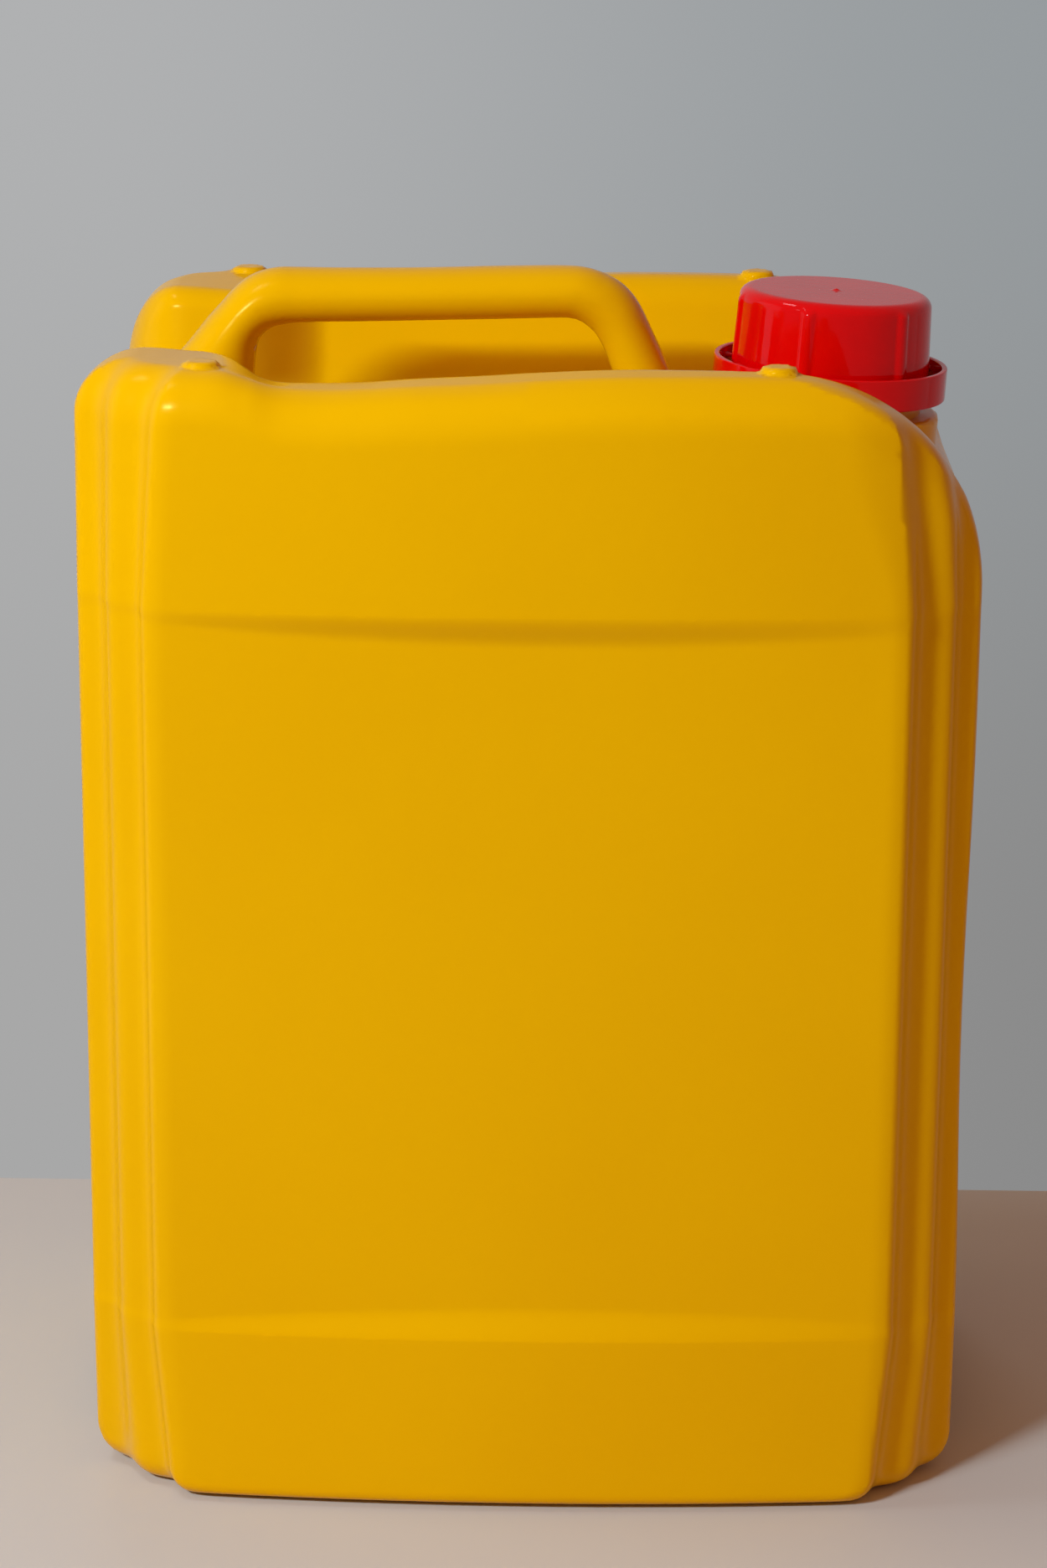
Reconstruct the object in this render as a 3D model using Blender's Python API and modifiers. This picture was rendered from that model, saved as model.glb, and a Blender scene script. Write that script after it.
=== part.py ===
"""A ten-litre square plastic canister: a blow-moulded can with its tubular handle and neck in one
piece, a screw cap with a foam seal, and the torn-off tamper ring that stays on the neck.

Metres, +Z up. The can stands on z = 0 with its centre on the Z axis, its long side along X and
its neck at +X. Heights called "rise" are measured along the neck's own axis, which leans towards +X.
"""

import math

import bmesh
import bpy
import numpy as np

# The can's box
WIDTH = 0.232
DEPTH = 0.190
SHOULDER = 0.3036
WALL = 0.0016

# The panel between the base band and the shoulder band
BASE_BAND = 0.0500
SHOULDER_BAND_HIGH = 0.0610
SHOULDER_BAND = SHOULDER - SHOULDER_BAND_HIGH
LEDGE = 0.0050
FRONT_STEP = 0.0035
SIDE_STEP = 0.0005
FRONT_CROWN = 0.0050
PANEL_CROWN = 0.0016

# The fluted corner columns
CORNER_CUT = 0.0248
CORNER_SKEW = 0.0029
CORNER_STEP = 0.0008
FLUTE_DEPTH = 0.0024
FLUTE_PITCH = 0.0146
END_FLUTE_PITCH = 0.0190
END_CORNER_CUT = 0.0282
EDGE_BLEND = 0.0030
EDGE_REACH = 0.0120

# Rounded edges of the block: how far each takes from the top or base, and how far it drops
BASE_ROUND = 0.0050
SIDE_BASE_ROUND = 0.0120
CORNER_BASE_ROUND = 0.0080
FRONT_ROUND = 0.0115
FRONT_ROUND_DROP = 0.0130
LEFT_ROUND = 0.0160
LEFT_ROUND_DROP = 0.0140
NECK_END_ROUND = 0.0500
NECK_END_DROP = 0.0560

# The hand trough in the top, between two ridges, with a narrow gate between its left platforms
TROUGH_DEPTH = 0.0356
TROUGH_FLOOR = SHOULDER - TROUGH_DEPTH
RIDGE_FOOT = 0.0350
RIDGE_TOP = 0.0280
TROUGH_FLOOR_HALF = DEPTH / 2 - RIDGE_FOOT
TROUGH_TOP_HALF = DEPTH / 2 - RIDGE_TOP
TROUGH_LIP = 0.0090
GATE_FLOOR_HALF = 0.0380
GATE_TOP_HALF = 0.0430
GATE_LIP = 0.0060
PLATFORM_LONG = 0.0310
PLATFORM_STEP = 0.0260
GATE_END = PLATFORM_LONG - WIDTH / 2
TROUGH_START = GATE_END + PLATFORM_STEP
TROUGH_FILLET = 0.0120
TROUGH_END_FALL = 0.0060
TROUGH_END_RUN = 0.0080

# The neck, measured along its own axis from the trough floor
NECK_INSET = 0.0379
NECK_X = WIDTH / 2 - NECK_INSET
NECK_LEAN = math.radians(3.2)
NECK_RADIUS = 0.0230
NECK_WALL = 0.0035
BORE_RADIUS = NECK_RADIUS - NECK_WALL
COLLAR_PROUD = 0.0070
COLLAR_RADIUS = NECK_RADIUS + COLLAR_PROUD
COLLAR_RISE = 0.0130
FOOT_FLARE = 0.0030
FOOT_DEPTH = 0.0060
THROAT_PROUD = 0.0020
THROAT_RADIUS = NECK_RADIUS + THROAT_PROUD
THROAT_HIGH = 0.0057
BEAD_PROUD = 0.0046
BEAD_RADIUS = NECK_RADIUS + BEAD_PROUD
BEAD_RISE = COLLAR_RISE + THROAT_HIGH
BEAD_HIGH = 0.0030
BEAD_TOP = BEAD_RISE + BEAD_HIGH
NECK_TOP_HIGH = 0.0188
LIP_RISE = BEAD_TOP + NECK_TOP_HIGH
LIP_ROUND = 0.0010

# The thread
THREAD_PITCH = 0.0060
THREAD_TURNS = 1.6
THREAD_LIFT = 0.0045
THREAD_START = BEAD_TOP + THREAD_LIFT
THREAD_HEIGHT = 0.0010
THREAD_ROOT = 0.0022
THREAD_CREST = 0.0009
THREAD_SINK = 0.0005

# The cap and its seal
GAP = 0.0003
CAP_WALL = 0.0019
CAP_TOP = 0.0017
CAP_PLAY = 0.0006
CAP_TAPER = 0.0009
CAP_LIFT = 0.0007
CAP_BOTTOM = BEAD_TOP + CAP_LIFT
CAP_EDGE = 0.0028
CAP_CHAMFER = 0.0008
SEAL_THICK = 0.0013
RIBS = 6
RIB_TURN = math.radians(-19.0)
RIB_RADIUS = 0.0030
RIB_PROUD = 0.0008
RIB_LIFT = 0.0021
RIB_BOTTOM = CAP_BOTTOM + RIB_LIFT
RIB_BELOW_TOP = 0.0030

# The tamper ring, which hangs under the neck's bead
RING_PLAY = 0.0022
RING_WALL = 0.0013
RING_INNER = BEAD_RADIUS + RING_PLAY
RING_OUTER = RING_INNER + RING_WALL
RING_FLANGE = 0.0014
RING_BOTTOM = BEAD_RISE - GAP - RING_FLANGE
RING_HIGH = 0.0076
RING_EDGE = 0.0003
CATCH_PLAY = 0.0008
BRIDGES = 8
BRIDGE_WIDE = 0.0022
BRIDGE_HIGH = 0.0008

# The handle: its centre line lies in the plane y = 0
GRIP_RISE = 0.0430
GRIP_TILT = 0.0008
GRIP_HEIGHT = TROUGH_FLOOR + GRIP_RISE
GRIP_THICK = 0.0141
GRIP_WIDE = 0.0200
LEFT_KNEE_INSET = 0.0460
LEFT_FOOT_INSET = 0.0113
GRIP_LEFT = LEFT_KNEE_INSET - WIDTH / 2
FOOT_LEFT = LEFT_FOOT_INSET - WIDTH / 2
KNEE_TO_NECK = 0.0596
FOOT_TO_NECK = 0.0378
GRIP_RIGHT = NECK_X - KNEE_TO_NECK
FOOT_RIGHT = NECK_X - FOOT_TO_NECK
LEFT_BEND = 0.0110
RIGHT_BEND = 0.0140
LEFT_LEG_SWELL = 1.24
RIGHT_LEG_SWELL = 0.93
LEG_FLARE = 0.10
FOOT_SWELL = 1.20
GRIP_WALL = 0.0020
LEG_DEPTH = 0.0100

# The stacking studs, and the channel under the base that clears the handle and ring of a can below
STUD_LEFT_INSET = 0.0336
STUD_RIGHT_INSET = 0.0536
STUD_LEFT = STUD_LEFT_INSET - WIDTH / 2
STUD_RIGHT = WIDTH / 2 - STUD_RIGHT_INSET
STUD_EDGE = 0.0210
STUD_OUT = DEPTH / 2 - STUD_EDGE
STUD_RADIUS = 0.0044
STUD_RISE = 0.0018
STACK_GAP = 0.00075
CHANNEL_DEPTH = GRIP_HEIGHT + GRIP_THICK / 2 - SHOULDER + STACK_GAP
CHANNEL_SIDE_GAP = 0.0049
CHANNEL_ROOF_HALF = RING_OUTER + CHANNEL_SIDE_GAP
CHANNEL_FLARE = 0.0040
CHANNEL_MOUTH_HALF = CHANNEL_ROOF_HALF + CHANNEL_FLARE
CHANNEL_FILLET = 0.0070
CHANNEL_LIP = 0.0040

# How finely curved shapes are cut up
NECK_END_SHARES = (0.85, 0.66, 0.48, 0.33, 0.20, 0.11, 0.05, 0.015, 0.0)
STEPS = 48
TUBE_SIDES = 16
REACH = 0.25


def fade(low, high, value):
    """A smooth step from 0 at low to 1 at high."""
    t = np.clip((value - low) / (high - low), 0.0, 1.0)
    return t * t * (3.0 - 2.0 * t)


def joined(a, b, wall_a, wall_b):
    """The larger of the distances from two faces that round off at top and base. Where their plain
    walls cross near the surface, the upright edge between them is rounded too."""
    near = np.clip(1.0 - np.abs(wall_a - wall_b) / EDGE_BLEND, 0.0, 1.0)
    near = near * np.clip(1.0 + np.maximum(wall_a, wall_b) / EDGE_REACH, 0.0, 1.0)
    return np.maximum(a, b) + near * near * EDGE_BLEND / 4.0


def round_edge(a, b, run, drop):
    """Joins two faces, given by the distances a and b from them, by a quarter ellipse that runs so
    far along the first face's side and drops so far along the second's."""
    u = np.maximum(a / run + 1.0, 1e-6)
    v = np.maximum(b / drop + 1.0, 1e-6)
    reach = np.hypot(u, v)
    return (reach - 1.0) * reach / np.hypot(u / run, v / drop)


def block(x, y, z, fluted=True):
    """Roughly the distance from the can without its trough: below zero inside, above zero outside.

    Front and back are crowned, more so in the two bands than in the panel between them. Each corner
    is cut at 45 degrees, and a cosine wave along the cut makes its rib and its two flutes. The wave
    is longest at the top and base, which draws the front face in there. Without flutes the corner
    is plain and lies as deep as their floors do.
    """
    across, along = np.abs(x), np.abs(y)
    panel = fade(BASE_BAND - LEDGE / 2, BASE_BAND + LEDGE / 2, z)
    panel = panel - fade(SHOULDER_BAND - LEDGE / 2, SHOULDER_BAND + LEDGE / 2, z)
    end = np.maximum((BASE_BAND - z) / BASE_BAND, (z - SHOULDER_BAND) / (SHOULDER - SHOULDER_BAND))
    end = np.clip(end, 0.0, 1.0)

    crown = FRONT_CROWN + (PANEL_CROWN - FRONT_CROWN) * panel
    face_half = WIDTH / 2 - CORNER_CUT + CORNER_SKEW
    front = along - DEPTH / 2 + FRONT_STEP * panel + crown * (across / face_half) ** 2
    side = across - WIDTH / 2 + SIDE_STEP * panel

    cut = CORNER_CUT + CORNER_STEP * panel + (END_CORNER_CUT - CORNER_CUT) * end
    pitch = FLUTE_PITCH + (END_FLUTE_PITCH - FLUTE_PITCH) * end
    from_corner_x = across - WIDTH / 2
    from_corner_y = along - DEPTH / 2
    out = (from_corner_x + from_corner_y + cut) / math.sqrt(2)
    slide = (from_corner_x - from_corner_y - 2 * CORNER_SKEW) / math.sqrt(2)
    crest = np.cos(np.clip(slide / pitch, -1.0, 1.0) * 2 * math.pi) if fluted else -1.0
    corner = out + FLUTE_DEPTH * (1.0 - crest) / 2

    top = z - SHOULDER
    round_front = round_edge(front, top, FRONT_ROUND, FRONT_ROUND_DROP)
    round_front = round_edge(round_front, -z, BASE_ROUND, BASE_ROUND)
    left_end = round_edge(side, top, LEFT_ROUND, LEFT_ROUND_DROP)
    neck_end = round_edge(side, top, NECK_END_ROUND, NECK_END_DROP)
    round_side = np.where(x < 0, left_end, neck_end)
    round_side = round_edge(round_side, -z, SIDE_BASE_ROUND, SIDE_BASE_ROUND)
    round_corner = round_edge(corner, top, LEFT_ROUND, LEFT_ROUND_DROP)
    round_corner = round_edge(round_corner, -z, CORNER_BASE_ROUND, CORNER_BASE_ROUND)
    faces = joined(round_front, round_side, front, side)
    return joined(faces, round_corner, np.maximum(front, side), corner)


def outline(z, level, fluted, face_parts, flute_parts, side_parts):
    """One closed section of the block at the height z, where the block's distance equals level. Rays
    from the middle aim at points along the front face, the corner's wave and the side."""
    end = max((BASE_BAND - z) / BASE_BAND, (z - SHOULDER_BAND) / (SHOULDER - SHOULDER_BAND), 0.0)
    pitch = FLUTE_PITCH + (END_FLUTE_PITCH - FLUTE_PITCH) * end
    cut = CORNER_CUT + (END_CORNER_CUT - CORNER_CUT) * end
    rib = np.array([WIDTH / 2 - cut / 2 + CORNER_SKEW, DEPTH / 2 - cut / 2 - CORNER_SKEW])
    half_wave = pitch / math.sqrt(2)
    first = rib + np.array([-half_wave, half_wave]) * 1.08
    last = rib + np.array([half_wave, -half_wave]) * 1.08
    face = np.linspace(0.0, 1.0, face_parts, endpoint=False)[:, None]
    turn = np.linspace(0.0, 1.0, flute_parts, endpoint=False)[:, None]
    side = np.linspace(0.0, 1.0, side_parts + 1)[:, None]
    aims = np.vstack([
        np.array([0.0, DEPTH / 2]) * (1 - face) + first * face,
        first * (1 - turn) + last * turn,
        last * (1 - side) + np.array([WIDTH / 2, 0.0]) * side,
    ])
    back_right = aims[1:-1]
    aims = np.vstack([
        aims[:-1],
        np.array([[WIDTH / 2, 0.0]]),
        back_right[::-1] * [1, -1],
        np.array([[0.0, -DEPTH / 2]]),
        back_right * [-1, -1],
        np.array([[-WIDTH / 2, 0.0]]),
        back_right[::-1] * [-1, 1],
    ])
    rays = aims / np.linalg.norm(aims, axis=1)[:, None]
    near = np.zeros(len(rays))
    far = np.full(len(rays), REACH)
    for _ in range(40):
        middle = (near + far) / 2
        inside = block(rays[:, 0] * middle, rays[:, 1] * middle, z, fluted) < level
        near = np.where(inside, middle, near)
        far = np.where(inside, far, middle)
    points = rays * ((near + far) / 2)[:, None]
    return [(float(x), float(y), z) for x, y in points]


def new_object(name, mesh, home, parent=None):
    """A new object in its collection, placed by its parent where it has one."""
    made = bpy.data.objects.new(name, mesh)
    home.objects.link(made)
    made.parent = parent
    return made


def skinned(name, rings, home, parent=None):
    """A closed body over a row of rings with equal counts, and one face over each end."""
    shape = bmesh.new()
    rows = [[shape.verts.new(point) for point in ring] for ring in rings]
    for low, high in zip(rows, rows[1:]):
        for i in range(len(low)):
            after = (i + 1) % len(low)
            shape.faces.new((low[i], low[after], high[after], high[i]))
    shape.faces.new(rows[0])
    shape.faces.new(rows[-1])
    bmesh.ops.recalc_face_normals(shape, faces=shape.faces)
    mesh = bpy.data.meshes.new(name)
    shape.to_mesh(mesh)
    shape.free()
    return new_object(name, mesh, home, parent)


def turned(name, profile, home, parent=None):
    """A body turned about its own Z axis from a closed outline of (radius, height) points."""
    mesh = bpy.data.meshes.new(name)
    count = len(profile)
    edges = [(i, (i + 1) % count) for i in range(count)]
    mesh.from_pydata([(radius, 0.0, height) for radius, height in profile], edges, [])
    made = new_object(name, mesh, home, parent)
    screw = made.modifiers.new("turn", "SCREW")
    screw.steps = STEPS
    screw.render_steps = STEPS
    screw.use_merge_vertices = True
    screw.merge_threshold = 0.00001
    return made


def rounded(corner, radius, start, stop, parts):
    """Points on an arc about a corner's centre, from the start to the stop angle in degrees."""
    angles = np.radians(np.linspace(start, stop, parts + 1))
    return [(corner[0] + radius * math.cos(t), corner[1] + radius * math.sin(t)) for t in angles]


def combine(target, other, operation):
    """Cuts or joins another object into the target."""
    modifier = target.modifiers.new(f"{operation.lower()} {other.name}", "BOOLEAN")
    modifier.operation = operation
    modifier.solver = "EXACT"
    modifier.object = other


def block_body(name, level, fluted, heights, parts, home):
    """The can's block, or its cavity at a level below zero, lofted through sections."""
    edge = 0.0001
    rings = []
    for z in heights:
        section = outline(min(max(z, edge - level), SHOULDER + level - edge), level, fluted, *parts)
        rings.append([(x, y, z) for x, y, _ in section])
    return skinned(name, rings, home)


def groove_ring(x, floor, rim, floor_half, top_half, fillet, lip, grow):
    """One section of a groove at x. It has a filleted floor, straight walls and a rounded lip at the
    rim, and runs on past the rim. A rim below the floor makes a groove that opens downwards."""
    way = 1 if rim > floor else -1
    depth = abs(rim - floor)
    lip = min(lip, depth * 0.45)
    fillet = min(fillet, depth * 0.45)
    past = 0.040
    half = rounded((floor_half - fillet, fillet), fillet + grow, -90, 0, 4)
    half += rounded((top_half + lip, depth - lip), lip - grow, 180, 98, 4)
    half.append((top_half + lip + 0.001, depth + past))
    ring = [(x, y, floor + way * rise) for y, rise in half]
    return ring + [(x, -y, z) for _, y, z in reversed(ring)]


def top_height(x):
    """The height of the two ridges beside the trough, which round down over the neck's end."""
    run = np.clip((x - WIDTH / 2 + NECK_END_ROUND) / NECK_END_ROUND, 0.0, 0.999)
    return SHOULDER - NECK_END_DROP * (1.0 - math.sqrt(1.0 - run * run))


def trough(name, grow, home):
    """The hand trough: narrow between the two left platforms, wide from there to the neck's end."""
    beyond = WIDTH / 2 + 0.020
    left, right = -WIDTH / 2, WIDTH / 2
    middle = np.linspace(GATE_END, TROUGH_START, 7)
    over_end = np.linspace(right - NECK_END_ROUND, right - 0.004, 6)
    ends = [-beyond, left, left + TROUGH_END_RUN / 2, left + TROUGH_END_RUN]
    rings = []
    for x in [*ends, *middle, *over_end, beyond]:
        share = float(fade(GATE_END, TROUGH_START, x))
        fall = max(left + TROUGH_END_RUN - x, x - right + TROUGH_END_RUN, 0.0) / TROUGH_END_RUN
        floor = TROUGH_FLOOR - TROUGH_END_FALL * fall * fall
        least_rim = floor + TROUGH_FILLET + TROUGH_LIP
        rings.append(groove_ring(
            x, floor, max(top_height(x), least_rim),
            GATE_FLOOR_HALF + (TROUGH_FLOOR_HALF - GATE_FLOOR_HALF) * share,
            GATE_TOP_HALF + (TROUGH_TOP_HALF - GATE_TOP_HALF) * share,
            TROUGH_FILLET, GATE_LIP + (TROUGH_LIP - GATE_LIP) * share, grow,
        ))
    return skinned(name, rings, home)


def channel(name, grow, home):
    """The stacking channel under the base, from end to end."""
    beyond = WIDTH / 2 + 0.020
    sizes = (CHANNEL_ROOF_HALF, CHANNEL_MOUTH_HALF, CHANNEL_FILLET, CHANNEL_LIP, grow)
    rings = [groove_ring(x, CHANNEL_DEPTH, 0.0, *sizes) for x in (-beyond, beyond)]
    return skinned(name, rings, home)


def bend(corner, before, after, radius, parts):
    """Points on an arc that rounds the corner between two unit directions, in the XZ plane."""
    turn = math.acos(max(-1.0, min(1.0, before[0] * after[0] + before[1] * after[1])))
    reach = radius * math.tan(turn / 2)
    way = 1 if before[0] * after[1] - before[1] * after[0] > 0 else -1
    start = (corner[0] - before[0] * reach, corner[1] - before[1] * reach)
    centre = (start[0] - way * before[1] * radius, start[1] + way * before[0] * radius)
    points = []
    for i in range(parts + 1):
        angle = way * turn * i / parts
        arm = (start[0] - centre[0], start[1] - centre[1])
        points.append((
            centre[0] + arm[0] * math.cos(angle) - arm[1] * math.sin(angle),
            centre[1] + arm[0] * math.sin(angle) + arm[1] * math.cos(angle),
        ))
    return points


def handle_line():
    """The handle's centre line as (x, z, swell) points, from the left foot to the right foot."""
    left_foot, left_top = (FOOT_LEFT, TROUGH_FLOOR), (GRIP_LEFT, GRIP_HEIGHT - GRIP_TILT)
    right_foot, right_top = (FOOT_RIGHT, TROUGH_FLOOR), (GRIP_RIGHT, GRIP_HEIGHT)

    def towards(start, stop):
        length = math.dist(start, stop)
        return ((stop[0] - start[0]) / length, (stop[1] - start[1]) / length)

    def along(foot, top, share):
        return (foot[0] + (top[0] - foot[0]) * share, foot[1] + (top[1] - foot[1]) * share)

    level = (1.0, 0.0)
    up_left, down_right = towards(left_foot, left_top), towards(right_top, right_foot)
    inward = GRIP_RISE * 0.07
    line = [(left_foot[0] + inward, TROUGH_FLOOR - LEG_DEPTH, LEFT_LEG_SWELL + LEG_FLARE)]
    line.append((left_foot[0] + inward, TROUGH_FLOOR, LEFT_LEG_SWELL + LEG_FLARE))
    for share in (0.15, 0.35, 0.6):
        line.append((*along(left_foot, left_top, share), LEFT_LEG_SWELL + LEG_FLARE * (0.6 - share)))
    left_arc = bend(left_top, up_left, level, LEFT_BEND, 5)
    for i, point in enumerate(left_arc):
        line.append((*point, LEFT_LEG_SWELL + (1.0 - LEFT_LEG_SWELL) * (i + 1) / 7))
    line.append((left_arc[-1][0] + GRIP_THICK * 0.6, left_top[1], 1.0))
    right_arc = bend(right_top, level, down_right, RIGHT_BEND, 5)
    for i, point in enumerate(right_arc):
        line.append((*point, 1.0 + (RIGHT_LEG_SWELL - 1.0) * i / 5))
    for share in (0.4, 0.2):
        line.append((*along(right_foot, right_top, share), RIGHT_LEG_SWELL))
    line.append((*along(right_foot, right_top, 0.07), RIGHT_LEG_SWELL * 1.08))
    line.append((*right_foot, RIGHT_LEG_SWELL * FOOT_SWELL))
    line.append((right_foot[0] + inward / 2, TROUGH_FLOOR - LEG_DEPTH, RIGHT_LEG_SWELL * FOOT_SWELL))
    return line


def handle(name, thinner, longer, home):
    """The handle as a round tube on its centre line, widened across to its oval section."""
    curve = bpy.data.curves.new(name, "CURVE")
    curve.dimensions = "3D"
    curve.bevel_depth = 1.0
    curve.bevel_resolution = (TUBE_SIDES - 4) // 2
    curve.use_fill_caps = True
    line = handle_line()
    spline = curve.splines.new("POLY")
    spline.points.add(len(line) - 1)
    for point, (x, z, swell) in zip(spline.points, line):
        below = longer if z < TROUGH_FLOOR - LEG_DEPTH / 2 else 0.0
        point.co = (x, 0.0, z - below, 1.0)
        point.radius = swell * GRIP_THICK / 2 - thinner
    tube = new_object(name, curve, home)
    bpy.context.view_layer.update()
    seen = tube.evaluated_get(bpy.context.evaluated_depsgraph_get())
    mesh = bpy.data.meshes.new_from_object(seen)
    bpy.data.objects.remove(tube)
    shape = bmesh.new()
    shape.from_mesh(mesh)
    bmesh.ops.remove_doubles(shape, verts=shape.verts, dist=0.00001)
    wide = (GRIP_WIDE / 2 - thinner) / (GRIP_THICK / 2 - thinner)
    bmesh.ops.scale(shape, vec=(1.0, wide, 1.0), verts=shape.verts)
    bmesh.ops.recalc_face_normals(shape, faces=shape.faces)
    shape.to_mesh(mesh)
    shape.free()
    return new_object(name, mesh, home)


def stud(name, x, y, home):
    """A stacking stud: the cap of a ball that stands a little above its platform."""
    ball = (STUD_RADIUS**2 + STUD_RISE**2) / (2 * STUD_RISE)
    shape = bmesh.new()
    bmesh.ops.create_uvsphere(shape, u_segments=14, v_segments=24, radius=ball)
    low = [vertex for vertex in shape.verts if vertex.co.z < ball - 2.2 * STUD_RISE]
    bmesh.ops.delete(shape, geom=low, context="VERTS")
    bmesh.ops.holes_fill(shape, edges=shape.edges, sides=0)
    bmesh.ops.recalc_face_normals(shape, faces=shape.faces)
    mesh = bpy.data.meshes.new(name)
    shape.to_mesh(mesh)
    shape.free()
    made = new_object(name, mesh, home)
    made.location = (x, y, SHOULDER + STUD_RISE - ball)
    return made


def thread(name, root, crest, lowest, home, parent):
    """A thread ridge of trapezium section along a helix, tapering out at both ends."""
    parts = int(STEPS * THREAD_TURNS)
    sunk = root + math.copysign(THREAD_SINK, root - crest)
    rings = []
    for i in range(parts + 1):
        angle = 2 * math.pi * THREAD_TURNS * i / parts
        rise = lowest + THREAD_PITCH * THREAD_TURNS * i / parts
        taper = min(1.0, min(i, parts - i) / 5.0)
        tip = root + (crest - root) * taper
        ring = []
        for radius, half in (
            (sunk, -THREAD_ROOT / 2), (tip, -THREAD_CREST / 2),
            (tip, THREAD_CREST / 2), (sunk, THREAD_ROOT / 2),
        ):
            ring.append((radius * math.cos(angle), radius * math.sin(angle), rise + half))
        rings.append(ring)
    return skinned(name, rings, home, parent)


def neck_profile():
    """The neck's outside, down from the lip to its root below the trough floor, and up its middle."""
    lip = rounded((NECK_RADIUS - LIP_ROUND, LIP_RISE - LIP_ROUND), LIP_ROUND, 90, 0, 3)
    foot = rounded((COLLAR_RADIUS + FOOT_FLARE, FOOT_FLARE), FOOT_FLARE, 180, 270, 3)
    inner = BORE_RADIUS - NECK_WALL
    edge = BEAD_HIGH / 5
    return [
        (inner, LIP_RISE), *lip,
        (NECK_RADIUS, BEAD_TOP), (BEAD_RADIUS - edge, BEAD_RISE + 2 * edge),
        (BEAD_RADIUS, BEAD_RISE + edge), (BEAD_RADIUS, BEAD_RISE),
        (THROAT_RADIUS, BEAD_RISE - edge / 3), (THROAT_RADIUS, COLLAR_RISE),
        (COLLAR_RADIUS - edge, COLLAR_RISE), (COLLAR_RADIUS, COLLAR_RISE - edge),
        *foot, (COLLAR_RADIUS + FOOT_FLARE, -FOOT_DEPTH), (inner, -FOOT_DEPTH),
    ]


def cap_radius(rise):
    """The cap's outer radius, which grows a little from its top to its skirt."""
    share = (cap_top_rise() - rise) / (cap_top_rise() - CAP_BOTTOM)
    return cap_bore() + CAP_WALL - CAP_TAPER * (1.0 - share)


def cap_bore():
    """The radius inside the cap's skirt, clear of the neck's thread."""
    return NECK_RADIUS + THREAD_HEIGHT + CAP_PLAY


def cap_top_rise():
    """The rise of the cap's flat top: lip, seal and the cap's own thickness, with their gaps."""
    return LIP_RISE + GAP + SEAL_THICK + GAP + CAP_TOP


def cap_outside():
    """The cap's outside, turned solid, with a rounded upper edge."""
    top = cap_top_rise()
    edge = cap_radius(top - CAP_EDGE)
    shoulder = rounded((edge - CAP_EDGE, top - CAP_EDGE), CAP_EDGE, 90, 0, 4)
    return [(0.0, top), *shoulder, (cap_radius(CAP_BOTTOM), CAP_BOTTOM), (0.0, CAP_BOTTOM)]


def cap_inside():
    """The hollow that is cut from the cap, open at its lower end."""
    roof = cap_top_rise() - CAP_TOP
    bore = cap_bore()
    below = CAP_BOTTOM - CAP_TOP
    return [
        (0.0, roof), (bore - CAP_CHAMFER, roof), (bore, roof - CAP_CHAMFER),
        (bore, below), (0.0, below),
    ]


def ring_profile():
    """The tamper ring's section: an upright wall with an inward flange that catches under the bead."""
    top = RING_BOTTOM + RING_HIGH
    catch = THROAT_RADIUS + CATCH_PLAY
    return [
        (RING_INNER, top - RING_EDGE), (RING_INNER + RING_EDGE, top), (RING_OUTER - RING_EDGE, top),
        (RING_OUTER, top - RING_EDGE), (RING_OUTER, RING_BOTTOM + RING_EDGE),
        (RING_OUTER - RING_EDGE, RING_BOTTOM), (catch, RING_BOTTOM),
        (catch, RING_BOTTOM + RING_FLANGE), (RING_INNER, RING_BOTTOM + RING_FLANGE),
    ]


def cap_rib(name, turn, home, parent):
    """One upright grip rib, a round bar sunk into the cap's skirt so that little of it stands out."""
    top = cap_top_rise() - RIB_BELOW_TOP
    height = top - RIB_BOTTOM
    shape = bmesh.new()
    bmesh.ops.create_cone(
        shape, cap_ends=True, segments=16, radius1=RIB_RADIUS, radius2=RIB_RADIUS, depth=height
    )
    mesh = bpy.data.meshes.new(name)
    shape.to_mesh(mesh)
    shape.free()
    lean = math.atan2(cap_radius(RIB_BOTTOM) - cap_radius(top), height)
    reach = cap_radius(RIB_BOTTOM + height / 2) + RIB_PROUD - RIB_RADIUS
    made = new_object(name, mesh, home, parent)
    made.location = (reach * math.sin(turn), -reach * math.cos(turn), RIB_BOTTOM + height / 2)
    made.rotation_euler = (-lean, 0.0, turn)
    return made


def bridge(name, turn, home, parent):
    """One torn bridge, a short tab on the ring that reaches almost to the cap's skirt."""
    tip = cap_radius(CAP_BOTTOM) + GAP * 1.3
    root = RING_OUTER - RING_WALL / 2
    shape = bmesh.new()
    bmesh.ops.create_cube(shape, size=1.0)
    bmesh.ops.scale(shape, vec=(root - tip, BRIDGE_WIDE, BRIDGE_HIGH), verts=shape.verts)
    mesh = bpy.data.meshes.new(name)
    shape.to_mesh(mesh)
    shape.free()
    made = new_object(name, mesh, home, parent)
    middle = (root + tip) / 2
    rise = CAP_BOTTOM + BRIDGE_HIGH / 2 + CAP_LIFT * 0.3
    made.location = (middle * math.cos(turn), middle * math.sin(turn), rise)
    made.rotation_euler = (0.0, 0.0, turn)
    return made


def plastic(name, colour, roughness):
    """A plain plastic for one sub-part."""
    material = bpy.data.materials.new(name)
    material.use_nodes = True
    shader = material.node_tree.nodes["Principled BSDF"]
    shader.inputs["Base Color"].default_value = (*colour, 1.0)
    shader.inputs["Roughness"].default_value = roughness
    shader.inputs["Metallic"].default_value = 0.0
    return material


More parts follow.
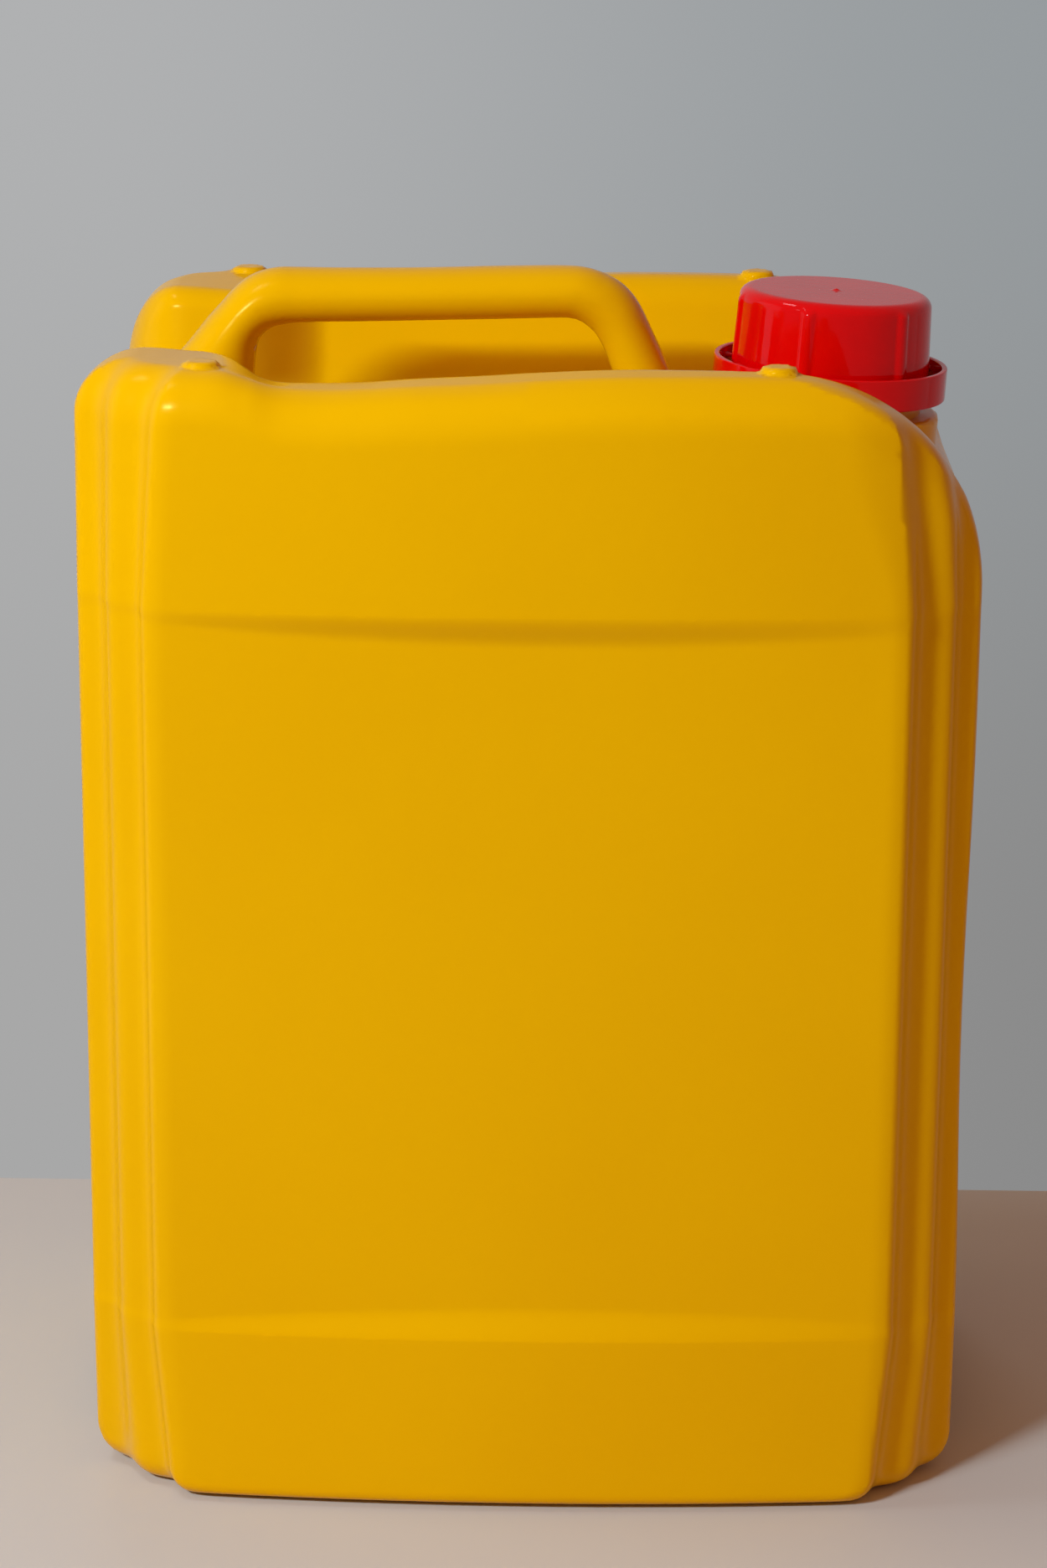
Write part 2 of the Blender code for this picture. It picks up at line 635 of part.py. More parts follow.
def finish(made, material):
    """Gives a sub-part its material and smooth shading."""
    made.data.materials.append(material)
    if made.data.polygons:
        made.data.shade_smooth()
        made.data.set_sharp_from_angle(angle=math.radians(35))


def make_can(parts, tools, axis):
    """The blow-moulded can: block, trough and channel, handle, neck, thread and studs, then hollowed."""
    low, high, half = BASE_BAND, SHOULDER_BAND, LEDGE / 2
    base = [0.0, 0.0012, 0.0035, 0.0070, 0.0125]
    lower = [low - half, low - half / 3, low + half / 3, low + half]
    upper = [high - half, high - half / 3, high + half / 3, high + half]
    rise = [SHOULDER - NECK_END_DROP * share for share in NECK_END_SHARES]
    panel = [low + (high - low) * share for share in (0.33, 0.67)]
    heights = [*base, *lower, *panel, *upper, *rise]
    can = block_body("canister_body", 0.0, True, heights, (6, 16, 4), parts)

    inside_heights = [WALL + 0.0004, WALL + 0.005, low - half, low + half, high - half, high + half]
    inside_heights += [SHOULDER - WALL - NECK_END_DROP * share for share in (0.7, 0.4, 0.2, 0.06)]
    inside_heights += [SHOULDER - WALL - 0.0002]
    cavity = block_body("cavity", -WALL, False, inside_heights, (4, 4, 3), tools)

    combine(can, trough("trough", 0.0, tools), "DIFFERENCE")
    combine(can, channel("stacking_channel", 0.0, tools), "DIFFERENCE")
    combine(can, handle("handle", 0.0, 0.0, tools), "UNION")
    combine(can, turned("neck", neck_profile(), tools, axis), "UNION")
    crest = NECK_RADIUS + THREAD_HEIGHT
    ridge = thread("neck_thread", NECK_RADIUS, crest, THREAD_START, tools, axis)
    combine(can, ridge, "UNION")
    for i, (x, side) in enumerate((x, s) for x in (STUD_LEFT, STUD_RIGHT) for s in (-1, 1)):
        combine(can, stud(f"stud_{i}", x, side * STUD_OUT, tools), "UNION")

    combine(cavity, trough("trough_wall", WALL, tools), "DIFFERENCE")
    combine(cavity, channel("channel_wall", WALL, tools), "DIFFERENCE")
    combine(cavity, handle("handle_core", GRIP_WALL, 0.008, tools), "UNION")
    above, below = LIP_RISE + FOOT_DEPTH, -2 * FOOT_DEPTH
    bore = [(0.0, above), (BORE_RADIUS, above), (BORE_RADIUS, below), (0.0, below)]
    combine(cavity, turned("bore", bore, tools, axis), "UNION")
    combine(can, cavity, "DIFFERENCE")
    finish(can, plastic("yellow_polyethylene", (0.83, 0.47, 0.004), 0.38))


def make_closure(parts, tools, axis):
    """The screw cap with its thread and ribs, the foam seal in it, and the tamper ring below it."""
    red = plastic("red_polypropylene", (0.62, 0.006, 0.008), 0.22)
    cap = turned("screw_cap", cap_outside(), parts, axis)
    for i in range(RIBS):
        turn = RIB_TURN + 2 * math.pi * i / RIBS
        combine(cap, cap_rib(f"rib_{i}", turn, tools, axis), "UNION")
    combine(cap, turned("cap_hollow", cap_inside(), tools, axis), "DIFFERENCE")
    crest = cap_bore() - THREAD_HEIGHT - CAP_PLAY / 4
    lowest = THREAD_START - (THREAD_ROOT + THREAD_CREST) / 2 - GAP
    ridge = thread("cap_thread", cap_bore(), crest, lowest, tools, axis)
    combine(cap, ridge, "UNION")
    finish(cap, red)

    low = LIP_RISE + GAP
    high = low + SEAL_THICK
    radius = cap_bore() - CAP_CHAMFER - GAP
    disc = [(0.0, high), (radius, high), (radius, low), (0.0, low)]
    finish(turned("cap_seal", disc, parts, axis), plastic("white_foam", (0.80, 0.80, 0.78), 0.7))

    ring = turned("tamper_ring", ring_profile(), parts, axis)
    for i in range(BRIDGES):
        turn = 2 * math.pi * (i + 0.5) / BRIDGES
        combine(ring, bridge(f"bridge_{i}", turn, tools, axis), "UNION")
    finish(ring, red)


def main():
    for old in list(bpy.data.objects):
        bpy.data.objects.remove(old)
    parts = bpy.data.collections.new("square_plastic_canister")
    tools = bpy.data.collections.new("cutters")
    for collection in (parts, tools):
        bpy.context.scene.collection.children.link(collection)
    axis = bpy.data.objects.new("neck_axis", None)
    axis.location = (NECK_X, 0.0, TROUGH_FLOOR)
    axis.rotation_euler = (0.0, NECK_LEAN, 0.0)
    parts.objects.link(axis)
    make_can(parts, tools, axis)
    make_closure(parts, tools, axis)
    for tool in tools.objects:
        tool.hide_render = True
        tool.display_type = "WIRE"


main()
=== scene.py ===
"""The looks of a square blow-moulded canister with a tubular handle, a screw cap and a tamper ring.

All lengths are in metres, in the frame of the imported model: X runs along the can's long side to its
neck, Y away from the photographed face, and Z up from the floor.
"""

import math

import bmesh
import bpy
import numpy as np
from mathutils import Matrix


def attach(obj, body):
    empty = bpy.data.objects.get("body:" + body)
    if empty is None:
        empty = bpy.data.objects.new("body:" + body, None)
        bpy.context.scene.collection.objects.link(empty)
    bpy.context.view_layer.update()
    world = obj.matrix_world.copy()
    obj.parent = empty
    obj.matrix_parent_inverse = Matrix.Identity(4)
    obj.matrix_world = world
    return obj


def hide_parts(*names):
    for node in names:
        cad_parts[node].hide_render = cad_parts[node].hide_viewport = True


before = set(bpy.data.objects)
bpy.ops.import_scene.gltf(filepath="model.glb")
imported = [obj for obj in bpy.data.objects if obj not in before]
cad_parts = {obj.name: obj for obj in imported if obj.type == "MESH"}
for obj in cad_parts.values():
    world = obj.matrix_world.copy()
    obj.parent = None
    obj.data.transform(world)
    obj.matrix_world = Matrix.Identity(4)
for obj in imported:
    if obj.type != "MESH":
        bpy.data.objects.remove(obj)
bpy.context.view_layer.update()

# The can's box, its bands and its wall
WIDTH = 0.232
DEPTH = 0.190
SHOULDER = 0.3036
WALL = 0.0016
BASE_BAND = 0.0485
SHOULDER_BAND = 0.2438
LEDGE = 0.0030
LEDGE_BOW = 0.0055
BOW_MIDDLE = 0.008
LEDGE_SOFT = 0.75
FRONT_STEP = 0.0035
SIDE_WAIST = 0.0012
WAIST_LOW, WAIST_LONG = 0.0450, 0.1700
FRONT_CROWN = 0.0046
PANEL_CROWN = 0.0016

# The fluted corners
CORNER_CUT = 0.0248
CORNER_SKEW = 0.0029
CORNER_STEP = 0.0004
FLUTE_DEPTH = 0.0024
FLUTE_PITCH = 0.0146
END_FLUTE_PITCH = 0.0190
END_CORNER_CUT = 0.0282
CREST_SHIFT = (-0.0012, 0.0022)
EDGE_BLEND = 0.0030
NECK_END_BLEND = 0.0090
NECK_END_BLEND_AT = (0.2450, 0.2850)
EDGE_REACH = 0.0120

# Rounded edges: how far each runs along the top or base, and how far it drops
BASE_ROUND = 0.0050
SIDE_BASE_ROUND = 0.0120
CORNER_BASE_ROUND = 0.0080
FRONT_ROUND = (0.0115, 0.0130)
LEFT_ROUND = (0.0160, 0.0140)
FAR_LEFT_DROP = 0.0260
CORNER_ROUND = (0.0110, 0.0140)
NECK_END_ROUND = (0.0545, 0.0565)

# The top's height along X, at its inner rim beside trough and gate, and at its outer edge
INNER_AT = (
    -0.100, -0.095, -0.0885, -0.082, -0.076, -0.0725, -0.069, -0.065, -0.059, -0.050, -0.042, -0.030, -0.013,
    0.004, 0.0205, 0.040, 0.070,
)
INNER_HIGH = (
    0.3037, 0.3035, 0.3030, 0.3026, 0.3025, 0.3017, 0.3003, 0.2997, 0.2997, 0.2997, 0.3000, 0.3010, 0.3020,
    0.3032, 0.3040, 0.3041, 0.3036,
)
OUTER_AT = (
    -0.095, -0.085, -0.076, -0.070, -0.0634, -0.055, -0.042, -0.030, -0.013, 0.004, 0.0205, 0.040, 0.075,
)
OUTER_HIGH = (
    0.3040, 0.3040, 0.3036, 0.3020, 0.3000, 0.2993, 0.2997, 0.3005, 0.3013, 0.3024, 0.3032, 0.3034, 0.3032,
)
OUTER_LINE = 0.084

# The hand trough, the gate between the left platforms, and the channel under the base
TROUGH_FLOOR = 0.2680
TROUGH_FOOT_HALF = 0.0585
TROUGH_RIM_HALF = 0.0690
GATE_FOOT_HALF = 0.0370
GATE_RIM_HALF = 0.0440
GATE_END = -0.0850
GATE_FLARE = 0.0160
FLARE_START = -0.0960
TROUGH_START = -0.0590
TROUGH_FILLET = 0.0110
TROUGH_LIP = 0.0080
GATE_LIP = 0.0055
COLLAR_FILLET = 0.0018
CHANNEL_DEPTH = 0.0150
CHANNEL_ROOF_HALF = 0.0355
CHANNEL_MOUTH_HALF = 0.0415
CHANNEL_FILLET = 0.0070
CHANNEL_LIP = 0.0040

# The handle in the plane y = 0: points on its outer and its inner outline, and half its width
HANDLE = (
    (-0.1148, 0.2560, -0.0760, 0.2560, 0.0140), (-0.1115, 0.2680, -0.0757, 0.2660, 0.0136),
    (-0.1050, 0.2800, -0.0754, 0.2740, 0.0128), (-0.0995, 0.2885, -0.0752, 0.2810, 0.0122),
    (-0.0944, 0.2948, -0.0751, 0.2875, 0.0117), (-0.0890, 0.3017, -0.0747, 0.2940, 0.0113),
    (-0.0843, 0.3069, -0.0733, 0.2981, 0.0109), (-0.0800, 0.3116, -0.0710, 0.3003, 0.0106),
    (-0.0755, 0.3149, -0.0685, 0.3015, 0.0104), (-0.0700, 0.3166, -0.0655, 0.3020, 0.0102),
    (-0.0640, 0.3169, -0.0620, 0.3023, 0.0100), (-0.0500, 0.3169, -0.0500, 0.3026, 0.0100),
    (-0.0310, 0.3171, -0.0310, 0.3031, 0.0100), (-0.0100, 0.3177, -0.0100, 0.3037, 0.0100),
    (0.0070, 0.3180, 0.0075, 0.3042, 0.0100), (0.0140, 0.3175, 0.0112, 0.3038, 0.0098),
    (0.0192, 0.3158, 0.0135, 0.3027, 0.0096), (0.0230, 0.3136, 0.0152, 0.3013, 0.0094),
    (0.0262, 0.3104, 0.0168, 0.2996, 0.0093), (0.0288, 0.3064, 0.0180, 0.2976, 0.0092),
    (0.0312, 0.3018, 0.0192, 0.2949, 0.0092), (0.0344, 0.2950, 0.0210, 0.2900, 0.0093),
    (0.0388, 0.2850, 0.0250, 0.2800, 0.0095), (0.0455, 0.2700, 0.0300, 0.2680, 0.0100),
    (0.0505, 0.2580, 0.0350, 0.2560, 0.0105),
)
GRIP_WALL = 0.0020
FOOT_FILLET = 0.0060
FOOT_FILLET_AT = (-0.1160, -0.1000)
CORE_FILLET = 0.0030

# Four stacking studs
STUD_AT = ((-0.0824, 0.0762), (0.0624, 0.0765))
STUD_RADIUS = 0.0048
STUD_RISE = 0.0016
STUD_EDGE = 0.0014
STUD_ROOT = 0.0100
STUD_FILLET = 0.0006

# The neck's own frame: its axis leans over the neck's end, and rises are measured from the trough floor
NECK_X = 0.0781
NECK_LEAN = math.radians(3.2)
COLLAR_RADIUS = 0.0300
COLLAR_RISE = 0.0130
COLLAR_DEPTH = 0.0010
COLLAR_EDGE = 0.0012
OUTER_MOUTH = (0.0090, 0.0200)
INNER_MOUTH = (-0.0060, 0.0040)
MOUTH_RADIUS = 0.0220
BORE_RADIUS = 0.0195
SLEEVE_RADIUS, SLEEVE_LOW = 0.0215, -0.0040
NECK_SUNK = 0.0004
NECK_RADIUS = 0.0230
THROAT_RADIUS = 0.0250
BEAD_RADIUS = 0.0276
BEAD_RISE = 0.0187
BEAD_FACE = 0.0010
BEAD_TOP = 0.0217
LIP_RISE = 0.0405
THREAD_PITCH = 0.0060
THREAD_TURNS = 1.6
THREAD_FADE = 0.08
THREAD_START = 0.0262
THREAD_DEPTH = 0.0010
THREAD_ROOT, THREAD_CREST = 0.0022, 0.0009

# The cap, its seal and the tamper ring
CAP_BORE = 0.0246
CAP_FOOT_RADIUS = 0.0265
CAP_TOP_RADIUS = 0.0256
CAP_BOTTOM = 0.0224
CAP_ROOF = 0.0424
CAP_TOP = 0.0441
CAP_EDGE = 0.0030
RIBS = 6
RIB_TURN = math.radians(-19.0)
RIB_RADIUS = 0.0028
RIB_PROUD = 0.0008
PIP_RISE, PIP_RADIUS = 0.0006, 0.0008
CAP_THREAD_DEPTH, CAP_THREAD_DROP = 0.00085, 0.00185
SEAL_LOW, SEAL_HIGH, SEAL_RADIUS = 0.0408, 0.0421, 0.0235
RING_CATCH, RING_INNER, RING_OUTER = 0.0258, 0.0298, 0.0313
RING_BOTTOM, RING_TOP, RING_FLANGE = 0.0170, 0.0256, 0.0014
BRIDGES = 8
BRIDGE_REACH, BRIDGE_HALF, BRIDGE_RISE = 0.0028, 0.0007, 0.0006


# Shapes as distances: below zero inside, above zero outside

def ease(low, high, value):
    """A smooth step from 0 at low to 1 at high: 3tt - 2ttt of the share t between them."""
    t = np.clip((value - low) / (high - low), 0.0, 1.0)
    return t * t * (3.0 - 2.0 * t)


def through(places, heights, x):
    """A smooth line through points: on each stretch the cubic that has the points' mean slopes."""
    places, heights = np.asarray(places), np.asarray(heights)
    slopes = np.gradient(heights, places)
    x = np.clip(x, places[0], places[-1])
    i = np.clip(np.searchsorted(places, x) - 1, 0, len(places) - 2)
    long = places[i + 1] - places[i]
    t = (x - places[i]) / long
    rise = 3 * t**2 - 2 * t**3
    start = (t - 2 * t**2 + t**3) * long * slopes[i]
    stop = (t**3 - t**2) * long * slopes[i + 1]
    return heights[i] * (1 - rise) + heights[i + 1] * rise + start + stop


def cut_edge(a, b, radius):
    """What lies inside both a and b, with the outer edge where they meet rounded: the larger
    distance, and near the edge the distance from an arc that touches both."""
    reach = np.hypot(np.maximum(a + radius, 0.0), np.maximum(b + radius, 0.0))
    return np.minimum(np.maximum(a, b), -radius) + reach


def fill_corner(a, b, radius):
    """What lies inside a or b, with the inner corner where they meet filled to an arc."""
    return -cut_edge(-a, -b, radius)


def round_edge(a, b, run, drop):
    """What lies inside both a and b, joined by a quarter ellipse that runs so far and drops so far."""
    u = np.maximum(a / run + 1.0, 1e-7)
    v = np.maximum(b / drop + 1.0, 1e-7)
    reach = np.hypot(u, v)
    near = (reach - 1.0) * reach / np.hypot(u / run, v / drop)
    return np.where((a < -run) & (b < -drop), np.maximum(a, b), near)


def upright_edge(a, b, wall, blend):
    """The larger of a and b, with the edge between them blended close to the plain walls."""
    near = np.clip(1.0 - np.abs(a - b) / blend, 0.0, 1.0)
    near = near * np.clip(1.0 + wall / EDGE_REACH, 0.0, 1.0)
    return np.maximum(a, b) + near * near * blend / 4.0


def top_height(x, y):
    """The height of the can's top, even between its inner rim and its outer edge."""
    rim = GATE_RIM_HALF + (TROUGH_RIM_HALF - GATE_RIM_HALF) * ease(GATE_END, TROUGH_START, x) + GATE_LIP
    share = np.clip((np.abs(y) - rim) / (OUTER_LINE - rim), -0.1, 1.3)
    return through(INNER_AT, INNER_HIGH, x) * (1 - share) + through(OUTER_AT, OUTER_HIGH, x) * share


def block(x, y, z, fluted=True):
    """The can without its trough. Front and back are crowned, more so in the two bands than in the
    panel between, which steps back over ledges that are longest in the middle. A cosine wave along
    each corner's 45 degree cut makes a rib and two flutes."""
    across, along = np.abs(x), np.abs(y)
    ledge = LEDGE + LEDGE_BOW * np.clip(1.0 - ((x - BOW_MIDDLE) / (WIDTH / 2 - BOW_MIDDLE)) ** 2, 0.0, 1.0)
    panel = np.clip(np.minimum(z - BASE_BAND, SHOULDER_BAND - z) / ledge, 0.0, 1.0)
    panel = LEDGE_SOFT * panel * panel * (3.0 - 2.0 * panel) + (1.0 - LEDGE_SOFT) * panel * (2.0 - panel)
    end = np.maximum((BASE_BAND - z) / BASE_BAND, (z - SHOULDER_BAND) / (SHOULDER - SHOULDER_BAND))
    end = np.clip(end, 0.0, 1.0)

    crown = FRONT_CROWN + (PANEL_CROWN - FRONT_CROWN) * panel
    face_half = WIDTH / 2 - CORNER_CUT + CORNER_SKEW
    front = along - DEPTH / 2 + FRONT_STEP * panel + crown * (across / face_half) ** 2
    waist = SIDE_WAIST * np.sin(math.pi * np.clip((z - WAIST_LOW) / WAIST_LONG, 0, 1)) ** 2
    side = across - WIDTH / 2 + waist * (x > 0)

    cut = CORNER_CUT + CORNER_STEP * panel + (END_CORNER_CUT - CORNER_CUT) * end
    pitch = FLUTE_PITCH + (END_FLUTE_PITCH - FLUTE_PITCH) * end
    from_x, from_y = across - WIDTH / 2, along - DEPTH / 2
    out = (from_x + from_y + cut) / math.sqrt(2)
    left_shift = CREST_SHIFT[0] * (0.5 + 2 * end * (z < BASE_BAND))
    shift = np.where(x > 0, CREST_SHIFT[1] * (1 - 1.6 * end), left_shift)
    slide = (from_x - from_y - 2 * CORNER_SKEW) / math.sqrt(2) - shift
    pitch = pitch - shift * np.sign(slide)
    crest = np.cos(np.clip(slide / pitch, -1.0, 1.0) * 2 * math.pi) if fluted else -1.0
    corner = out + FLUTE_DEPTH * (1.0 - crest) / 2

    top = z - top_height(x, y)
    high_front = round_edge(front, top, *FRONT_ROUND)
    left_drop = np.where(y > 0, FAR_LEFT_DROP, LEFT_ROUND[1])
    left_side = round_edge(side, top, LEFT_ROUND[0], left_drop)
    high_side = np.where(x < 0, left_side, round_edge(side, top, *NECK_END_ROUND))
    high_corner = round_edge(corner, top, *CORNER_ROUND)
    whole_front = round_edge(high_front, -z, BASE_ROUND, BASE_ROUND)
    whole_side = round_edge(high_side, -z, SIDE_BASE_ROUND, SIDE_BASE_ROUND)
    whole_corner = round_edge(high_corner, -z, CORNER_BASE_ROUND, CORNER_BASE_ROUND)
    blend = EDGE_BLEND + (NECK_END_BLEND - EDGE_BLEND) * ease(*NECK_END_BLEND_AT, z) * (x > 0)
    walls = np.maximum(np.maximum(front, side), corner)
    faces = upright_edge(whole_front, whole_side, walls, blend)
    return upright_edge(faces, whole_corner, walls, blend)


def trough(x, y, z):
    """The hand trough: a floor, and leaning walls that step in softly to the gate on the left, whose
    mouth flares."""
    share = ease(GATE_END, TROUGH_START, x)
    flare = GATE_FLARE * np.clip((FLARE_START - x) / (FLARE_START + WIDTH / 2), 0.0, 1.2) ** 2.5
    rise = np.clip((z - TROUGH_FLOOR) / (SHOULDER - TROUGH_FLOOR), -0.2, 1.4)
    foot = GATE_FOOT_HALF + (TROUGH_FOOT_HALF - GATE_FOOT_HALF) * share + flare
    rim = GATE_RIM_HALF + (TROUGH_RIM_HALF - GATE_RIM_HALF) * share + flare
    slope = (TROUGH_RIM_HALF - GATE_RIM_HALF) / (TROUGH_START - GATE_END) * 6 * share * (1 - share)
    lean = (rim - foot) / (SHOULDER - TROUGH_FLOOR)
    wall = (np.abs(y) - foot - (rim - foot) * rise) / np.sqrt(1 + slope**2 + lean**2)
    return cut_edge(TROUGH_FLOOR - z, wall, TROUGH_FILLET)


def channel(y, z):
    """The stacking channel: a roof and two leaning walls, open below."""
    rise = np.clip(z / CHANNEL_DEPTH, -0.2, 1.2)
    half = CHANNEL_MOUTH_HALF + (CHANNEL_ROOF_HALF - CHANNEL_MOUTH_HALF) * rise
    return cut_edge(z - CHANNEL_DEPTH, np.abs(y) - half, CHANNEL_FILLET)


def arc(corner, before, after, radius, parts):
    """Points on an arc that rounds a corner between two unit directions in the XZ plane: the middle
    of the circle, and arms that turn evenly from one tangent point to the other."""
    turn = np.arccos(before @ after)
    way = np.sign(before[0] * after[1] - before[1] * after[0])
    start = corner - before * radius * math.tan(turn / 2)
    arm = way * radius * np.array([before[1], -before[0]])
    angle = way * turn * np.linspace(0, 1, parts)[:, None]
    across = np.array([-arm[1], arm[0]])
    return start - arm + arm * np.cos(angle) + across * np.sin(angle)


def handle_line():
    """The handle's middle line as rows of x, z, half thickness and half width, from smooth lines
    through its stations."""
    stops = np.arange(len(HANDLE))
    fine = np.linspace(0, len(HANDLE) - 1, 4 * len(HANDLE))
    columns = np.array(HANDLE).T
    outer_x, outer_z, inner_x, inner_z, wide = (through(stops, column, fine) for column in columns)
    thick = np.hypot(outer_x - inner_x, outer_z - inner_z) / 2
    return np.column_stack([(outer_x + inner_x) / 2, (outer_z + inner_z) / 2, thick, wide])


def oval_tube(x, y, z, line, thinner=0.0):
    """The handle: across its middle line, an ellipse with the half thickness and half width there.
    The nearest point of the line is looked up stretch by stretch."""
    flat = np.broadcast(x, z).shape
    px, pz = (np.broadcast_to(v, flat).reshape(-1) for v in (x, z))
    best = np.full(px.shape, 1.0)
    thick, wide = np.full(px.shape, 0.01), np.full(px.shape, 0.01)
    for (x0, z0, a0, b0), (x1, z1, a1, b1) in zip(line[:-1], line[1:]):
        dx, dz = x1 - x0, z1 - z0
        t = np.clip(((px - x0) * dx + (pz - z0) * dz) / (dx * dx + dz * dz), 0.0, 1.0)
        gap = np.hypot(px - x0 - dx * t, pz - z0 - dz * t)
        nearer = gap < best
        best = np.where(nearer, gap, best)
        thick = np.where(nearer, a0 + (a1 - a0) * t, thick)
        wide = np.where(nearer, b0 + (b1 - b0) * t, wide)
    best = best.reshape(flat)
    thick, wide = thick.reshape(flat) - thinner, wide.reshape(flat) - thinner
    k = np.hypot(best / thick, y / wide)
    return k * (k - 1.0) / np.maximum(np.hypot(best / thick**2, y / wide**2), 1e-4)


def in_neck_frame(x, y, z):
    """How far a point is from the neck's axis, and how high along it above the trough floor."""
    sin, cos = math.sin(NECK_LEAN), math.cos(NECK_LEAN)
    over = (x - NECK_X) * cos - (z - TROUGH_FLOOR) * sin
    rise = (x - NECK_X) * sin + (z - TROUGH_FLOOR) * cos
    return np.hypot(over, y), rise


def emptied(solid, x, y, z, wall):
    """A solid less trough and channel, clear of both by a wall, with their lips rounded about the
    same middles whatever the wall is."""
    lip = GATE_LIP + (TROUGH_LIP - GATE_LIP) * ease(GATE_END, TROUGH_START, x)
    solid = cut_edge(solid, wall - trough(x, y, z), lip - wall)
    return cut_edge(solid, wall - channel(y, z), CHANNEL_LIP - wall)


def can_outside(x, y, z):
    """The can: the block, less trough and channel, with studs, collar and handle grown out of it."""
    solid = emptied(block(x, y, z), x, y, z, 0.0)
    for at_x, at_y in STUD_AT:
        stud_top = float(top_height(np.array(at_x), np.array(at_y))) + STUD_RISE
        stud = cut_edge(np.hypot(x - at_x, np.abs(y) - at_y) - STUD_RADIUS, z - stud_top, STUD_EDGE)
        solid = fill_corner(solid, np.maximum(stud, stud_top - STUD_ROOT - z), STUD_FILLET)
    away, rise = in_neck_frame(x, y, z)
    collar = cut_edge(away - COLLAR_RADIUS, rise - COLLAR_RISE, COLLAR_EDGE)
    solid = fill_corner(solid, np.maximum(collar, -COLLAR_DEPTH - rise), COLLAR_FILLET)
    fillet = FOOT_FILLET * (0.1 + 0.9 * ease(*FOOT_FILLET_AT, x))
    return fill_corner(solid, oval_tube(x, y, z, HANDLE_LINE), fillet)


def can_inside(x, y, z):
    """The hollow: the block without flutes, one wall further in, clear of trough and channel by one
    wall, and running on through the handle. Below zero in the plastic and above zero in the hollow."""
    hollow = emptied(block(x, y, z, fluted=False) + WALL, x, y, z, WALL)
    core = oval_tube(x, y, z, HANDLE_LINE, GRIP_WALL)
    return -fill_corner(hollow, core, CORE_FILLET)


HANDLE_LINE = handle_line()


# Surfaces

def stations(*stretches):
    """Grid lines over stretches, each from its start to its stop in even steps near its own step."""
    lines = [np.linspace(a, b, max(2, round((b - a) / step) + 1))[:-1] for a, b, step in stretches]
    return np.append(np.concatenate(lines), stretches[-1][1])


def skin(field, xs, ys, zs):
    """The surface where a field is zero, on a grid of boxes. Each box that the surface crosses gets
    one point, the mean of the crossings on its edges, and each crossed edge one four-sided face
    that joins the points of the four boxes around it."""
    value = field(xs[:, None, None], ys[None, :, None], zs[None, None, :])
    value = np.broadcast_to(value, (len(xs), len(ys), len(zs)))
    boxes = tuple(n - 1 for n in value.shape)
    total = np.zeros((*boxes, 3))
    count = np.zeros(boxes)
    lines = (xs, ys, zs)
    crossed = []
    for axis in range(3):
        order = (axis, (axis + 1) % 3, (axis + 2) % 3)
        grid = value.transpose(order)
        a, b = grid[:-1], grid[1:]
        hit = (a < 0) != (b < 0)
        share = np.where(hit, a / np.where(hit, a - b, 1.0), 0.0)
        place = np.empty((*a.shape, 3))
        step = np.diff(lines[axis])[:, None, None]
        place[..., axis] = lines[axis][:-1, None, None] + share * step
        place[..., order[1]] = lines[order[1]][None, :, None]
        place[..., order[2]] = lines[order[2]][None, None, :]
        place *= hit[..., None]
        total_view, count_view = total.transpose(*order, 3), count.transpose(order)
        for j in (slice(None, -1), slice(1, None)):
            for k in (slice(None, -1), slice(1, None)):
                total_view += place[:, j, k]
                count_view += hit[:, j, k]
        crossed.append((order, hit[:, 1:-1, 1:-1], a[:, 1:-1, 1:-1] < 0))
    used = count > 0
    number = np.full(boxes, -1)
    number[used] = np.arange(used.sum())
    points = total[used] / count[used][:, None]
    quads = []
    for order, hit, outward in crossed:
        ids = number.transpose(order)
        around = np.stack([ids[:, :-1, :-1], ids[:, 1:, :-1], ids[:, 1:, 1:], ids[:, :-1, 1:]], axis=-1)
        quads.append(around[hit & outward])
        quads.append(around[hit & ~outward][:, ::-1])
    return points, np.concatenate(quads)


def slopes(field, points, step=0.00002):
    """The field's gradient at each point, from its values a small step to either side."""
    x, y, z = points.T
    return np.stack([
        field(x + step, y, z) - field(x - step, y, z),
        field(x, y + step, z) - field(x, y - step, z),
        field(x, y, z + step) - field(x, y, z - step),
    ], axis=1) / (2 * step)


def settle(field, points, passes=3, most=0.0015):
    """Moves points onto the surface: each pass goes the field's value down its gradient."""
    for _ in range(passes):
        slope = slopes(field, points)
        value = field(*points.T)
        move = value / np.maximum((slope**2).sum(axis=1), 0.05)
        points = points - np.clip(move, -most, most)[:, None] * slope
    slope = slopes(field, points)
    return points, slope / np.linalg.norm(slope, axis=1)[:, None]


def open_mouth(points, quads, rise_low, rise_high):
    """Leaves out the faces whose middle lies within the neck's mouth, and draws the points around
    the hole onto its circle. Returns the faces that are kept."""
    away, rise = in_neck_frame(*points[quads].mean(axis=1).T)
    gone = (away < MOUTH_RADIUS) & (rise > rise_low) & (rise < rise_high)
    rim = np.intersect1d(quads[gone], quads[~gone])
    middle = np.array([NECK_X, 0.0, TROUGH_FLOOR])
    axis = np.array([math.sin(NECK_LEAN), 0.0, math.cos(NECK_LEAN)])
    arm = points[rim] - middle
    along = (arm @ axis)[:, None] * axis
    arm = arm - along
    points[rim] = middle + along + arm * (MOUTH_RADIUS / np.linalg.norm(arm, axis=1))[:, None]
    return quads[~gone]


def new_piece(name, mesh, slot, body, *nodes):
    """A finished piece in the scene, on its body and in place of its CAD nodes."""
    made = bpy.data.objects.new(name, mesh)
    bpy.context.scene.collection.objects.link(made)
    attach(made, body)
    if nodes:
        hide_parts(*nodes)
    return made


